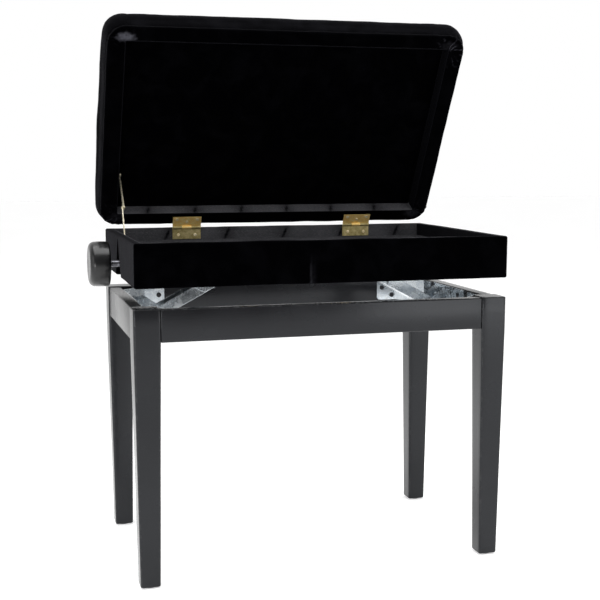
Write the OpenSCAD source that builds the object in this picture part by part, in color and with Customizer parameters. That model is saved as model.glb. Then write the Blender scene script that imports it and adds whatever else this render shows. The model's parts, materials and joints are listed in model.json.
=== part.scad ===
// Piano bench whose padded lid opens on a shallow storage box.
// A hand knob turns a left-and-right-hand screw. Two nuts on it swing a pair of
// arms, and a half-length link on each arm lifts the box straight up.
// +Z is up, the front is -Y and the knob is on the -X side.

/* [Base] */
// Width of the base over the legs
base_w = 555; // [540:1:580]
// Depth of the base over the legs
base_d = 332; // [326:1:350]
// Height of the base
base_h = 398; // [380:1:420]
// Side of the square leg at the apron
leg_top = 38; // [36:0.5:40]
// Side of the square leg at the floor
leg_foot = 28.6; // [24:0.2:34]
// Height of the aprons
apron_h = 47; // [46:0.5:52]
// Thickness of the aprons
apron_t = 18; // [16:0.5:19]

/* [Storage box] */
// Width of the box over its cover
box_w = 552; // [546:1:560]
// Depth of the box over its cover
box_d = 344; // [336:1:350]
// Height of the box over its cover
box_h = 62; // [60:1:70]
// Thickness of the box walls
wall_t = 9; // [8:0.5:10]
// Gap between the base and the box
box_gap = 29; // [27:1:32]

/* [Lid] */
// Width of the lid over its cover
lid_w = 562; // [556:1:570]
// Depth of the lid over its cover
lid_d = 343; // [330:1:348]
// Thickness of the lid over its cover
lid_t = 54; // [45:1:56]
// Sideways offset of the lid from the middle of the box
lid_shift = -5; // [-6:1:0]
// Angle that the lid stands open
open_angle = 60; // [50:1:70]

/* [Lift] */
// Length of each lift arm between its end pivots
arm_len = 160; // [155:1:165]
// Distance of the fixed arm pivots from the middle of the bench
pivot_x = 221; // [219:0.5:223]
// Radius of the lead screw
screw_r = 5; // [4.5:0.1:5.2]
// Radius of the knob
knob_r = 33.5; // [28:0.5:36]
// Length of the knob
knob_len = 30; // [24:1:34]

/* [Hidden] */
$fn = 48;
eps = 0.1;

// Fits
run_gap = 0.06;
snug_gap = 0.02;
open_pivot_gap = 0.3;

// Base
glide_t = 1.5;
glide_r = 10;
reveal = 1.5;
leg_x = (base_w - leg_top) / 2;
leg_y = (base_d - leg_top) / 2;
apron_z = base_h - apron_h;
apron_top = base_h - 1;
apron_out_x = base_w / 2 - reveal;
apron_out_y = base_d / 2 - reveal;
in_x = apron_out_x - apron_t;
in_y = apron_out_y - apron_t;
leg_in_x = base_w / 2 - leg_top;
leg_in_y = base_d / 2 - leg_top;
dowel_r = 4;
dowel_len = 32;
dowel_z = [apron_z + 11, apron_top - 11];

// Sheet-metal braces and brackets
sheet = 2;
brace_h = 36;
brace_z = apron_z + 8;
brace_end_x = in_x - 73;
brace_end_y = 74;
brace_sum = leg_in_x + leg_in_y - 3.5;
brace_round = 6;
hole_low = brace_z + 8;
hole_high = brace_z + 21;
screw_hole_r = 2.4;
wood_screw_r = 2;
wood_screw_len = 13;
pan_head_r = 4;
pan_head_h = 2;
leg_bolt_r = 4;
leg_bolt_z = brace_z + 15;
leg_bolt_in = 14;
leg_bolt_out = 22;
leg_washer_r = 9;
leg_washer_t = 1.2;
leg_nut_r = 7.5;
leg_nut_h = 6;
// Wood screws of the base bracket: distances along it, and heights of the outer and inner ones
bracket_screw_out = 52;
bracket_screw_in = 36;
bracket_screw_low = brace_z + 11;
bracket_screw_high = brace_z + 27;
bolt_mid = (brace_sum - sheet / sqrt(2)) / 2;
bolt_half_gap = (leg_in_x - leg_in_y) / 2;

// Lift: the link is half the arm's length and hangs from the arm's middle, so its
// upper pivot stays straight above the arm's fixed pivot at every height.
box_z = base_h + box_gap;
rim_z = box_z + box_h;
screw_z = box_z + 20;
pivot_z = base_h - 26;
arm_angle = asin((screw_z - pivot_z) / arm_len);
mid_x = pivot_x - arm_len / 2 * cos(arm_angle);
mid_z = (pivot_z + screw_z) / 2;
nut_x = pivot_x - arm_len * cos(arm_angle);
arm_w = 16.5;
link_w = 14;
arm_in = 15.5;
link_in = 19;
ear_in = 22.5;
pivot_r = 4;
mid_pin_r = 3.5;
rivet_head_r = 6;
rivet_head_t = 2.5;
pin_head_r = 6.5;
arm_web_start = 14;
arm_web_end = 32;
ear_r = 10;
nut_size = [18, 30.2, 16];

// Seat brackets and screw bearings
bracket_plate_y = 60;
bracket_start_x = 196;
end_plate_x = 236;
end_plate_drop = 13;
bush_r = 7;
bush_flange_r = 10;
collar_r = 9;
collar_len = 6;
// The left bearing's two collars start here
collar_starts = [-end_plate_x - sheet - 2.4 - collar_len, -end_plate_x + 2.6];
tray_bolt_r = 2.5;
tray_bolt_head_r = 4.8;
tray_nut_r = 4.6;
tray_nut_h = 4;
tray_bolts = [for (x = [206, 228]) for (y = [-50, 50]) [x, y]];

// Knob and screw
knob_gap = 14;
knob_x = -(box_w / 2 + knob_gap);
knob_end = knob_x - knob_len;
shaft_end = end_plate_x + 8;
shaft_depth = 22;
knob_edge_in = 3;
knob_edge_out = 8;

// Box
cover_t = 1.5;
lining_t = 1;
wall_out_x = box_w / 2 - cover_t;
wall_out_y = box_d / 2 - cover_t;
wall_in_x = wall_out_x - wall_t;
wall_in_y = wall_out_y - wall_t;
floor_z = rim_z - 29;
floor_t = 5;
slot_foot = [-25, 36];
slot_top = [4, 8];
slot_top_z = rim_z - 6;

// Hinges
hinge_x = [-144, 150];
hinge_w = 47;
leaf_t = 1.2;
leaf_len = 19;
knuckle_r = 2.8;
hinge_pin_r = 1.3;
knuckle_gap = 0.3;
knuckle_w = hinge_w / 3;
hinge_y = wall_in_y - lining_t - knuckle_r;
hinge_z = rim_z;
hinge_screw_r = 1.5;
hinge_head_r = 2.6;

// Lid, in its own closed frame with the hinge axis at Y = 0, Z = 0
lid_gap = 4;
lid_x0 = lid_shift - lid_w / 2;
lid_x1 = lid_shift + lid_w / 2;
lid_y0 = -lid_gap - lid_d;
lid_y1 = -lid_gap;
lid_z = knuckle_r;
lid_corner = 28;
side_pad = 6;
rail_w = 20;
front_rail_w = 15;
rail_h = 20;
board_t = 7;
rail_z = lid_z + cover_t;
board_z = rail_z + rail_h;
foam_z = board_z + board_t;
lid_top = lid_z + lid_t;
frame_x0 = lid_x0 + side_pad;
frame_x1 = lid_x1 - side_pad;
frame_y0 = lid_y0 + side_pad;
frame_y1 = lid_y1 - cover_t;
recess_x0 = frame_x0 + rail_w;
recess_x1 = frame_x1 - rail_w;
recess_y0 = frame_y0 + front_rail_w;
recess_y1 = frame_y1 - rail_w;

// Lid stay: two straps from the left wall of the box to the left rail of the lid
stay_t = 1.5;
stay_lower_len = 51.1;
stay_upper_len = 67.4;
stay_lower_w = 5;
stay_upper_w = 9;
stay_pin_r = 2;
stay_head_r = 4;
stay_x = recess_x0 + lining_t + 0.5;
stay_lower_x = stay_x - 0.4 - stay_t;
stay_foot = [50, rim_z - 8];
stay_lid = [-95, lid_z + 7];
stay_top = [
    hinge_y + stay_lid[0] * cos(open_angle) + stay_lid[1] * sin(open_angle),
    hinge_z - stay_lid[0] * sin(open_angle) + stay_lid[1] * cos(open_angle)
];
stay_span = norm(stay_top - stay_foot);
stay_span_dir = atan2(stay_top[1] - stay_foot[1], stay_top[0] - stay_foot[0]);
stay_foot_angle = acos(
    (pow(stay_lower_len, 2) + pow(stay_span, 2) - pow(stay_upper_len, 2))
    / (2 * stay_lower_len * stay_span)
);
stay_lower_dir = stay_span_dir + stay_foot_angle;
stay_elbow = stay_foot + stay_lower_len * [cos(stay_lower_dir), sin(stay_lower_dir)];
stay_upper_dir = atan2(stay_elbow[1] - stay_top[1], stay_elbow[0] - stay_top[0]);

// The origin is on the floor, under the middle of the bench's outline
outline_x = (knob_end + max(base_w / 2, lid_x1)) / 2;
outline_y = (-box_d / 2 + hinge_y - lid_gap * cos(open_angle) + lid_top * sin(open_angle)) / 2;

black_wood = "#2a2a2c";
velour = "#101012";
bare_wood = "#c9a878";
zinc = "#b9c0c6";
dark_steel = "#26262a";
brass = "#c8a24a";
stay_metal = "#b8ab84";
plastic = "#1b1b1d";
foam = "#d8d2b8";

module placed() {
    translate([-outline_x, -outline_y, 0]) children();
}

module on_side(side) {
    scale_x = side > 0 ? 0 : 1;
    mirror([scale_x, 0, 0]) children();
}

module in_corner(sx, sy) {
    on_side(sx) mirror([0, sy > 0 ? 0 : 1, 0]) children();
}

module rod_x(r, x0, x1) {
    translate([x0, 0, 0]) rotate([0, 90, 0]) cylinder(r = r, h = x1 - x0);
}

module rod_y(r, y0, y1) {
    translate([0, y1, 0]) rotate([90, 0, 0]) cylinder(r = r, h = y1 - y0);
}

module block(low, high) {
    translate(low) cube(high - low);
}

// Plate in the XZ plane, from y0 to y1
module plate_y(y0, y1) {
    translate([0, y1, 0]) rotate([90, 0, 0]) linear_extrude(y1 - y0) children();
}

// Strap along +X with round ends
module strap(len, w, y0, y1) {
    block([0, y0, -w / 2], [len, y1, w / 2]);
    rod_y(w / 2, y0, y1);
    translate([len, 0, 0]) rod_y(w / 2, y0, y1);
}

// The same pair of solids in front of and behind the middle plane
module front_and_back() {
    children();
    mirror([0, 1, 0]) children();
}

module rounded_slab(x0, y0, x1, y1, z0, z1, r) {
    block([x0 + r, y0, z0], [x1 - r, y1, z1]);
    block([x0, y0 + r, z0], [x1, y1 - r, z1]);
    for (x = [x0 + r, x1 - r]) for (y = [y0 + r, y1 - r]) {
        translate([x, y, z0]) cylinder(r = r, h = z1 - z0);
    }
}

// ---------- Base ----------

module leg(sx, sy) {
    color(black_wood) translate([sx * leg_x, sy * leg_y, 0]) {
        block([-leg_top / 2, -leg_top / 2, apron_z], [leg_top / 2, leg_top / 2, base_h]);
        hull() {
            translate([0, 0, apron_z + 0.5]) cube([leg_top, leg_top, 1], center = true);
            translate([0, 0, glide_t + 0.5]) cube([leg_foot, leg_foot, 1], center = true);
        }
    }
}

module long_apron(sy) {
    color(black_wood) in_corner(1, sy)
        block([-leg_in_x, in_y, apron_z], [leg_in_x, apron_out_y, apron_top]);
}

module side_apron(sx) {
    color(black_wood) in_corner(sx, 1)
        block([in_x, -leg_in_y, apron_z], [apron_out_x, leg_in_y, apron_top]);
}

module apron_dowels() {
    color(bare_wood) for (sx = [-1, 1]) for (sy = [-1, 1]) for (z = dowel_z) in_corner(sx, sy) {
        translate([0, in_y + apron_t / 2, z])
            rod_x(dowel_r, leg_in_x - dowel_len / 2, leg_in_x + dowel_len / 2);
        translate([in_x + apron_t / 2, 0, z])
            rod_y(dowel_r, leg_in_y - dowel_len / 2, leg_in_y + dowel_len / 2);
    }
}

// Holes in the brace's two flanges, as [distance along the flange, height]
long_flange_holes = [[brace_end_x + 9, hole_high], [brace_end_x + 27, hole_low]];
side_flange_holes = [[brace_end_y + 8, hole_high], [brace_end_y + 22, hole_low]];

module corner_brace(sx, sy) {
    d = sheet / sqrt(2) * 2;
    color(zinc) in_corner(sx, sy) difference() {
        translate([0, 0, brace_z]) linear_extrude(brace_h) polygon([
            [brace_end_x, in_y], [brace_sum - in_y, in_y],
            [in_x, brace_sum - in_x], [in_x, brace_end_y],
            [in_x - sheet, brace_end_y], [in_x - sheet, brace_sum - d - in_x + sheet],
            [brace_sum - d - in_y + sheet, in_y - sheet], [brace_end_x, in_y - sheet]
        ]);
        difference() {
            block([brace_end_x - eps, in_y - 2 * sheet, brace_z - eps],
                  [brace_end_x + brace_round, in_y + eps, brace_z + brace_round]);
            translate([brace_end_x + brace_round, 0, brace_z + brace_round])
                rod_y(brace_round, in_y - 3 * sheet, in_y + sheet);
        }
        for (h = long_flange_holes) translate([h[0], 0, h[1]])
            rod_y(screw_hole_r, in_y - 2 * sheet, in_y + sheet);
        for (h = side_flange_holes) translate([0, h[0], h[1]])
            rod_x(screw_hole_r, in_x - 2 * sheet, in_x + sheet);
        translate([bolt_mid + bolt_half_gap, bolt_mid - bolt_half_gap, leg_bolt_z])
            rotate([0, 0, 45]) rod_x(leg_bolt_r + 0.3, -6, 6);
    }
}

// Pan-head wood screw along +X, its head's underside at the origin
module wood_screw() {
    rod_x(pan_head_r, -pan_head_h, 0);
    rod_x(wood_screw_r, -pan_head_h / 2, wood_screw_len);
}

bracket_screws = [
    for (way = [-1, 1]) each [
        [way * bracket_screw_out, bracket_screw_low],
        [way * bracket_screw_in, bracket_screw_high]
    ]
];

module frame_screws() {
    color(dark_steel) for (sx = [-1, 1]) {
        for (sy = [-1, 1]) in_corner(sx, sy) {
            for (h = long_flange_holes)
                translate([h[0], in_y - sheet, h[1]]) rotate([0, 0, 90]) wood_screw();
            for (h = side_flange_holes)
                translate([in_x - sheet, h[0], h[1]]) wood_screw();
        }
        on_side(sx) for (h = bracket_screws) translate([in_x - sheet, h[0], h[1]]) wood_screw();
    }
}

// Hanger bolt with washer and nut, from the brace into the inner corner of the leg
module leg_bolts() {
    color(zinc) for (sx = [-1, 1]) for (sy = [-1, 1]) in_corner(sx, sy)
        translate([bolt_mid + bolt_half_gap, bolt_mid - bolt_half_gap, leg_bolt_z])
        rotate([0, 0, 45]) {
            rod_x(leg_bolt_r, -leg_bolt_in, leg_bolt_out);
            rod_x(leg_washer_r, -sheet / 2 - leg_washer_t, -sheet / 2);
            translate([-sheet / 2 - leg_washer_t - leg_nut_h, 0, 0]) rotate([0, 90, 0])
                cylinder(r = leg_nut_r, h = leg_nut_h, $fn = 6);
        }
}

module foot_glides() {
    color(plastic) for (sx = [-1, 1]) for (sy = [-1, 1])
        translate([sx * leg_x, sy * leg_y, 0]) cylinder(r = glide_r, h = glide_t);
}

module base_bracket(side) {
    color(zinc) on_side(side) difference() {
        union() {
            block([in_x - sheet, -bracket_plate_y, brace_z], [in_x, bracket_plate_y, apron_top - 1]);
            front_and_back() plate_y(link_in, link_in + sheet) hull() {
                translate([pivot_x, pivot_z]) circle(r = ear_r);
                translate([in_x - 20, apron_top - 4]) circle(r = 3);
                translate([in_x - sheet - 1, brace_z]) square([1.5, apron_top - 5 - brace_z]);
            }
        }
        translate([pivot_x, 0, pivot_z]) rod_y(pivot_r + snug_gap, -bracket_plate_y, bracket_plate_y);
        translate([in_x - 17, 0, apron_top - 14]) rod_y(2.6, -30, 30);
        for (h = bracket_screws) translate([0, h[0], h[1]])
            rod_x(screw_hole_r, in_x - 2 * sheet, in_x + sheet);
    }
}

module pivot_rods() {
    color(zinc) for (side = [-1, 1]) on_side(side) translate([pivot_x, 0, pivot_z]) {
        rod_y(pivot_r, -link_in - sheet - 1, link_in + sheet + 1);
        front_and_back() rod_y(rivet_head_r, link_in + sheet, link_in + sheet + rivet_head_t);
    }
}

// ---------- Lift ----------

// Channel-shaped arm from the fixed pivot to the nut, with a folded lower edge
module arm(side) {
    color(zinc) on_side(side) translate([pivot_x, 0, pivot_z]) rotate([0, arm_angle, 0])
        mirror([1, 0, 0]) difference() {
            union() {
                front_and_back() strap(arm_len, arm_w, arm_in, arm_in + sheet);
                block([arm_web_start, -arm_in - eps, -arm_w / 2],
                      [arm_len - arm_web_end, arm_in + eps, sheet - arm_w / 2]);
            }
            rod_y(pivot_r + run_gap, -20, 20);
            translate([arm_len / 2, 0, 0]) rod_y(mid_pin_r + snug_gap, -20, 20);
            translate([arm_len, 0, 0]) rod_y(pivot_r + run_gap, -20, 20);
        }
}

module mid_pin(side) {
    color(zinc) on_side(side) translate([mid_x, 0, mid_z]) {
        rod_y(mid_pin_r, -link_in - sheet - 1, link_in + sheet + 1);
        front_and_back() rod_y(rivet_head_r, link_in + sheet + 0.3, link_in + sheet + rivet_head_t - 0.2);
    }
}

// Pair of short straps from the arm's middle up to the seat bracket
module link(side, top_gap) {
    color(zinc) on_side(side) translate([mid_x, 0, mid_z]) rotate([0, -arm_angle, 0])
        difference() {
            front_and_back() strap(arm_len / 2, link_w, link_in, link_in + sheet);
            rod_y(mid_pin_r + run_gap, -30, 30);
            translate([arm_len / 2, 0, 0]) rod_y(pivot_r + top_gap, -30, 30);
        }
}

// Trunnion nut, held level between the arm's two plates
module nut(side) {
    color(brass) on_side(side) translate([nut_x, 0, screw_z]) difference() {
        union() {
            cube(nut_size, center = true);
            rod_y(pivot_r, -arm_in - sheet - 1, arm_in + sheet + 1);
        }
        rod_x(screw_r + run_gap, -20, 20);
    }
}

module lead_screw() {
    color(zinc) translate([0, 0, screw_z]) rod_x(screw_r, knob_x - shaft_depth + 0.5, shaft_end);
}

module knob() {
    arc_in = [for (a = [-90:15:0])
        [knob_r - knob_edge_in + knob_edge_in * cos(a), knob_edge_in + knob_edge_in * sin(a)]];
    arc_out = [for (a = [0:10:90])
        [knob_r - knob_edge_out + knob_edge_out * cos(a),
         knob_len - knob_edge_out + knob_edge_out * sin(a)]];
    color(plastic) translate([knob_x, 0, screw_z]) rotate([0, -90, 0]) difference() {
        rotate_extrude($fn = 96) polygon(concat(
            [[screw_r + snug_gap, 0]], arc_in, arc_out,
            [[0, knob_len], [0, shaft_depth], [screw_r + snug_gap, shaft_depth]]
        ));
        translate([0, 0, 10]) rotate([0, 90, 0]) cylinder(r = 2.6, h = knob_r + 1);
    }
}

module knob_set_screw() {
    color(dark_steel) translate([knob_x - 10, 0, screw_z + screw_r + 0.05]) cylinder(r = 2.5, h = 10);
}

// Rings pinned to the screw on both sides of the left bearing
module thrust_collars() {
    color(zinc) translate([0, 0, screw_z]) for (x = collar_starts)
        difference() {
            rod_x(collar_r, x, x + collar_len);
            rod_x(screw_r + snug_gap, x - 1, x + collar_len + 1);
        }
}

// ---------- Storage box ----------

module wall_long(sy) {
    color(black_wood) in_corner(1, sy)
        block([-wall_out_x, wall_in_y, box_z + cover_t], [wall_out_x, wall_out_y, rim_z - cover_t]);
}

// Inverted V in the left side, open below, that the screw's shaft passes through
module shaft_slot() {
    translate([-box_w / 2 - 1, 0, 0]) rotate([90, 0, 90]) linear_extrude(cover_t + wall_t + 1) polygon([
        [slot_foot[0], box_z - 1], [slot_foot[1], box_z - 1],
        [slot_top[1], slot_top_z], [slot_top[0], slot_top_z]
    ]);
}

module wall_left() {
    color(black_wood) difference() {
        block([-wall_out_x, -wall_in_y, box_z + cover_t], [-wall_in_x, wall_in_y, rim_z - cover_t]);
        shaft_slot();
    }
}

module wall_right() {
    color(black_wood)
        block([wall_in_x, -wall_in_y, box_z + cover_t], [wall_out_x, wall_in_y, rim_z - cover_t]);
}

module tray_floor() {
    color(black_wood) difference() {
        block([-wall_in_x, -wall_in_y, floor_z], [wall_in_x, wall_in_y, floor_z + floor_t]);
        for (side = [-1, 1]) on_side(side) for (p = tray_bolts) translate([p[0], p[1], floor_z - 1]) {
            cylinder(r = tray_bolt_r + 0.1, h = floor_t + 2);
            translate([0, 0, floor_t - 1]) cylinder(r = tray_bolt_head_r + 0.1, h = 3);
        }
    }
}

// Velour over the outside, the rim and the lower edge of the walls
module box_cover() {
    color(velour) difference() {
        block([-box_w / 2, -box_d / 2, box_z], [box_w / 2, box_d / 2, rim_z]);
        block([-wall_in_x, -wall_in_y, box_z - 1], [wall_in_x, wall_in_y, rim_z + 1]);
        block([-wall_out_x, -wall_out_y, box_z + cover_t], [wall_out_x, wall_out_y, rim_z - cover_t]);
        shaft_slot();
    }
}

module box_lining() {
    color(velour) difference() {
        block([-wall_in_x, -wall_in_y, floor_z + floor_t], [wall_in_x, wall_in_y, rim_z]);
        block([-wall_in_x + lining_t, -wall_in_y + lining_t, floor_z + floor_t + lining_t],
              [wall_in_x - lining_t, wall_in_y - lining_t, rim_z + 1]);
    }
}

module seat_bracket(side) {
    color(zinc) on_side(side) difference() {
        union() {
            block([bracket_start_x, -bracket_plate_y, floor_z - sheet],
                  [end_plate_x + sheet, bracket_plate_y, floor_z]);
            front_and_back() {
                block([pivot_x - ear_r, ear_in, screw_z], [pivot_x + ear_r, ear_in + sheet, floor_z]);
                translate([pivot_x, 0, screw_z]) rod_y(ear_r, ear_in, ear_in + sheet);
            }
            block([end_plate_x, -ear_in, screw_z - end_plate_drop], [end_plate_x + sheet, ear_in, floor_z]);
        }
        translate([pivot_x, 0, screw_z]) rod_y(pivot_r + snug_gap, -30, 30);
        translate([0, 0, screw_z]) rod_x(bush_r + snug_gap, end_plate_x - 1, end_plate_x + sheet + 1);
        for (p = tray_bolts) translate([p[0], p[1], floor_z - 2 * sheet])
            cylinder(r = tray_bolt_r + 0.1, h = 3 * sheet);
    }
}

module seat_bracket_bolts() {
    color(zinc) for (side = [-1, 1]) on_side(side) for (p = tray_bolts) translate([p[0], p[1], 0]) {
        translate([0, 0, floor_z - 8]) cylinder(r = tray_bolt_r, h = floor_t + 7.5);
        translate([0, 0, floor_z + floor_t - 2]) cylinder(r = tray_bolt_head_r, h = 1.9);
        translate([0, 0, floor_z - sheet - tray_nut_h]) cylinder(r = tray_nut_r, h = tray_nut_h, $fn = 6);
    }
}

// Short studs, so that the middle stays free for the screw
module link_pins() {
    color(zinc) for (side = [-1, 1]) on_side(side) translate([pivot_x, 0, screw_z]) front_and_back() {
        rod_y(pivot_r, link_in - 0.8, ear_in + sheet + 1);
        rod_y(pin_head_r, ear_in + sheet, ear_in + sheet + rivet_head_t);
    }
}

module screw_bushes() {
    color(plastic) for (side = [-1, 1]) on_side(side) translate([0, 0, screw_z]) difference() {
        union() {
            rod_x(bush_r, end_plate_x - 2, end_plate_x + sheet + 1);
            rod_x(bush_flange_r, end_plate_x + sheet, end_plate_x + sheet + 2);
        }
        rod_x(screw_r + run_gap, end_plate_x - 3, end_plate_x + sheet + 3);
    }
}

// ---------- Hinges ----------

// One third of the knuckle; a positive gap makes it shorter at both ends
module knuckle(third, r, gap) {
    rod_x(r, (third - 1.5) * knuckle_w + gap, (third - 0.5) * knuckle_w - gap);
}

// Leaf hanging down from the axis, with the knuckles in the listed thirds
module leaf(thirds, others) {
    difference() {
        union() {
            block([-hinge_w / 2, knuckle_r - leaf_t, -leaf_len], [hinge_w / 2, knuckle_r, 0]);
            for (i = thirds) knuckle(i, knuckle_r, knuckle_gap);
        }
        for (i = others) knuckle(i, knuckle_r + knuckle_gap, -knuckle_gap);
        rod_x(hinge_pin_r + run_gap, -hinge_w, hinge_w);
    }
}

module at_hinges() {
    for (x = hinge_x) translate([x, hinge_y, hinge_z]) children();
}

// From the lid's closed frame to the open position
module lid_open() {
    translate([0, hinge_y, hinge_z]) rotate([-open_angle, 0, 0]) children();
}

box_leaf_screws = [[-14, 12], [14, 12]];
lid_leaf_screws = [[-17, 14.5], [17, 14.5], [0, 9.5]];

// Round-head screw along +Y through a leaf, its head's underside at the origin
module hinge_screw(len) {
    rod_y(hinge_head_r, -0.9, 0);
    rod_y(hinge_screw_r, -0.5, len);
}

module hinge_box_leaves() {
    color(brass) at_hinges() difference() {
        leaf([0, 2], [1]);
        for (p = box_leaf_screws) translate([p[0], 0, -p[1]]) rod_y(hinge_screw_r + snug_gap, 0, 4);
    }
}

module hinge_pins() {
    color(brass) at_hinges() rod_x(hinge_pin_r, -hinge_w / 2, hinge_w / 2);
}

module hinge_box_screws() {
    color(brass) at_hinges() for (p = box_leaf_screws)
        translate([p[0], knuckle_r - leaf_t, -p[1]]) hinge_screw(9);
}

module hinge_lid_leaves() {
    color(brass) lid_open() for (x = hinge_x) translate([x, 0, 0])
        rotate([-90, 0, 0]) mirror([0, 1, 0]) difference() {
            leaf([1], [0, 2]);
            for (p = lid_leaf_screws) translate([p[0], 0, -p[1]]) rod_y(hinge_screw_r + snug_gap, 0, 4);
        }
}

module hinge_lid_screws() {
    color(brass) lid_open() for (x = hinge_x) for (p = lid_leaf_screws)
        translate([x + p[0], -p[1], knuckle_r - leaf_t]) rotate([90, 0, 0]) hinge_screw(14);
}

// ---------- Lid ----------

module lid_frame(z0, z1) {
    rounded_slab(frame_x0, frame_y0, frame_x1, frame_y1, z0, z1, lid_corner - side_pad);
}

module lid_rails_long() {
    color(bare_wood) lid_open() intersection() {
        lid_frame(rail_z, board_z);
        union() {
            block([frame_x0, frame_y0, rail_z], [frame_x1, recess_y0, board_z]);
            block([frame_x0, recess_y1, rail_z], [frame_x1, frame_y1, board_z]);
        }
    }
}

module lid_rails_short() {
    color(bare_wood) lid_open() intersection() {
        lid_frame(rail_z, board_z);
        union() {
            block([frame_x0, recess_y0, rail_z], [recess_x0, recess_y1, board_z]);
            block([recess_x1, recess_y0, rail_z], [frame_x1, recess_y1, board_z]);
        }
    }
}

module lid_board() {
    color(bare_wood) lid_open() lid_frame(board_z, foam_z);
}

module cover_inside(z0, z1) {
    rounded_slab(lid_x0 + cover_t, lid_y0 + cover_t, lid_x1 - cover_t, lid_y1 - cover_t,
        z0, z1, lid_corner - cover_t);
}

module lid_foam() {
    color(foam) lid_open() cover_inside(foam_z, lid_top - cover_t);
}

// Velour over the foam, down the padded sides and round under the rails
module lid_cover() {
    color(velour) lid_open() difference() {
        rounded_slab(lid_x0, lid_y0, lid_x1, lid_y1, lid_z, lid_top, lid_corner);
        cover_inside(foam_z, lid_top - cover_t);
        lid_frame(rail_z, foam_z + eps);
        block([recess_x0, recess_y0, lid_z - 1], [recess_x1, recess_y1, rail_z + 1]);
    }
}

module lid_lining() {
    color(velour) lid_open() difference() {
        block([recess_x0, recess_y0, rail_z], [recess_x1, recess_y1, board_z]);
        block([recess_x0 + lining_t, recess_y0 + lining_t, rail_z - 1],
              [recess_x1 - lining_t, recess_y1 - lining_t, board_z - cover_t]);
    }
}

// ---------- Lid stay ----------

// Moves to a stay pivot, with +X along the strap and the plate across Y
module stay_at(x, point, angle) {
    translate([x, point[0], point[1]]) rotate([angle, 0, 0]) rotate([0, 0, 90]) children();
}

module stay_lower_arm() {
    color(stay_metal) stay_at(stay_lower_x + stay_t, stay_foot, stay_lower_dir) difference() {
        strap(stay_lower_len, stay_lower_w, 0, stay_t);
        rod_y(stay_pin_r / 2 + run_gap, -1, stay_t + 1);
        translate([stay_lower_len, 0, 0]) rod_y(stay_pin_r / 2 + snug_gap, -1, stay_t + 1);
    }
}

module stay_upper_arm() {
    color(stay_metal) stay_at(stay_x + stay_t, stay_top, stay_upper_dir) difference() {
        union() {
            strap(stay_upper_len, stay_lower_w, 0, stay_t);
            translate([18, 0, 0]) strap(stay_upper_len - 18, stay_upper_w, 0, stay_t);
        }
        rod_y(stay_pin_r / 2 + run_gap, -1, stay_t + 1);
        translate([stay_upper_len, 0, 0]) rod_y(stay_pin_r / 2 + snug_gap, -1, stay_t + 1);
    }
}

// The elbow's rivet is in two halves, one in each strap
module stay_lower_rivet() {
    color(stay_metal) translate([0, stay_elbow[0], stay_elbow[1]]) {
        rod_x(stay_pin_r / 2, stay_lower_x - 0.5, stay_lower_x + stay_t);
        rod_x(stay_pin_r, stay_lower_x - 1, stay_lower_x);
    }
}

module stay_upper_rivet() {
    color(stay_metal) translate([0, stay_elbow[0], stay_elbow[1]]) {
        rod_x(stay_pin_r / 2, stay_x, stay_x + stay_t + 0.5);
        rod_x(stay_head_r - 1, stay_x + stay_t, stay_x + stay_t + 1.2);
    }
}

module stay_box_screw() {
    color(stay_metal) translate([0, stay_foot[0], stay_foot[1]]) {
        rod_x(stay_pin_r / 2, -wall_in_x - 6, stay_lower_x + stay_t + 0.5);
        rod_x(stay_pin_r, -wall_in_x + lining_t, stay_lower_x - 0.1);
        rod_x(stay_pin_r, stay_lower_x + stay_t + 0.1, stay_lower_x + stay_t + 1);
    }
}

module stay_lid_screw() {
    color(stay_metal) translate([0, stay_top[0], stay_top[1]]) {
        rod_x(stay_pin_r / 2, recess_x0 - 10, stay_x + stay_t + 0.5);
        rod_x(stay_head_r - 1, stay_x + stay_t + 0.1, stay_x + stay_t + 1.5);
    }
}

placed() leg(-1, -1);  // leg_front_left
placed() leg(1, -1);  // leg_front_right
placed() leg(-1, 1);  // leg_back_left
placed() leg(1, 1);  // leg_back_right
placed() long_apron(-1);  // apron_front
placed() long_apron(1);  // apron_back
placed() side_apron(-1);  // apron_left
placed() side_apron(1);  // apron_right
placed() apron_dowels();
placed() corner_brace(-1, -1);  // corner_brace_front_left
placed() corner_brace(1, -1);  // corner_brace_front_right
placed() corner_brace(-1, 1);  // corner_brace_back_left
placed() corner_brace(1, 1);  // corner_brace_back_right
placed() frame_screws();
placed() leg_bolts();
placed() foot_glides();
placed() base_bracket(-1);  // base_bracket_left
placed() base_bracket(1);  // base_bracket_right
placed() pivot_rods();
placed() arm(-1);  // arm_left
placed() arm(1);  // arm_right
placed() mid_pin(-1);  // mid_pin_left
placed() mid_pin(1);  // mid_pin_right
placed() link(-1, run_gap);  // link_left
placed() link(1, open_pivot_gap);  // link_right
placed() nut(-1);  // nut_left
placed() nut(1);  // nut_right
placed() lead_screw();
placed() knob();
placed() knob_set_screw();
placed() thrust_collars();
placed() wall_long(-1);  // wall_front
placed() wall_long(1);  // wall_back
placed() wall_left();
placed() wall_right();
placed() tray_floor();
placed() box_cover();
placed() box_lining();
placed() seat_bracket(-1);  // seat_bracket_left
placed() seat_bracket(1);  // seat_bracket_right
placed() seat_bracket_bolts();
placed() link_pins();
placed() screw_bushes();
placed() hinge_box_leaves();
placed() hinge_pins();
placed() hinge_box_screws();
placed() stay_box_screw();
placed() lid_rails_long();
placed() lid_rails_short();
placed() lid_board();
placed() lid_foam();
placed() lid_cover();
placed() lid_lining();
placed() hinge_lid_leaves();
placed() hinge_lid_screws();
placed() stay_lid_screw();
placed() stay_lower_arm();
placed() stay_lower_rivet();
placed() stay_upper_arm();
placed() stay_upper_rivet();
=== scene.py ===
# The looks of the piano bench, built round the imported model.
# All lengths are in metres. X runs along the bench, -Y is the front and +Z is up.
import json
import math

import bmesh
import bpy
import numpy as np
from mathutils import Matrix, Vector, noise


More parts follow.
